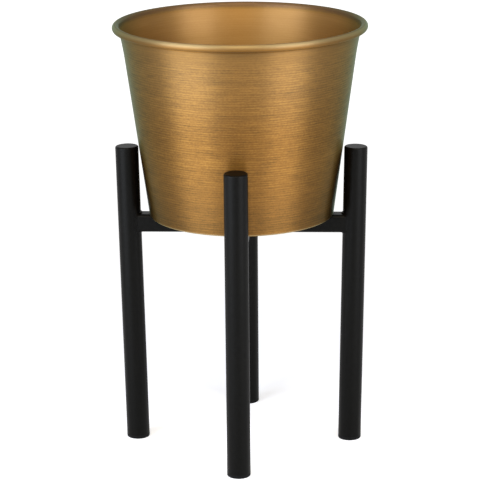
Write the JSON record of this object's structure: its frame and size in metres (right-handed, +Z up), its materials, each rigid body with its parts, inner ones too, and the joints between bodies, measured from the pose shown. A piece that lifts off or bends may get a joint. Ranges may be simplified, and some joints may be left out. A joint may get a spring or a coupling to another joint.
{
  "type": "planter with stand",
  "caption": "Tapered metal plant pot with a rolled rim, standing on the crossbars of a welded black tube stand with upright round legs.",
  "frame": {"origin": "on the floor below the middle of the pot", "axes": "+Z up, -Y towards the front leg, X along the through crossbar"},
  "size_m": [0.2058, 0.2058, 0.3532],
  "materials": {
    "gold_finish_steel": "brushed sheet with an antique gold finish, brush lines running round the pot",
    "black_powder_coat": "satin black powder coat over welded tube",
    "black_plastic": "moulded black plastic"
  },
  "bodies": {
    "stand": {"leg_front": "black_powder_coat", "leg_right": "black_powder_coat", "leg_back": "black_powder_coat", "leg_left": "black_powder_coat", "top_cap_front": "black_powder_coat", "top_cap_right": "black_powder_coat", "top_cap_back": "black_powder_coat", "top_cap_left": "black_powder_coat", "leg_weld_front": "black_powder_coat", "leg_weld_right": "black_powder_coat", "leg_weld_back": "black_powder_coat", "leg_weld_left": "black_powder_coat", "long_crossbar": "black_powder_coat", "front_crossbar": "black_powder_coat", "back_crossbar": "black_powder_coat", "hub_welds": "black_powder_coat", "foot_glide_front": "black_plastic", "foot_glide_right": "black_plastic", "foot_glide_back": "black_plastic", "foot_glide_left": "black_plastic"},
    "pot": {"pot_wall": "gold_finish_steel", "pot_base": "gold_finish_steel"}
  },
  "joints": [
    {"name": "pot_lift", "type": "slide", "parent": "stand", "child": "pot", "axis": [0, 0, 1], "range_m": [0, 0.08]}
  ]
}
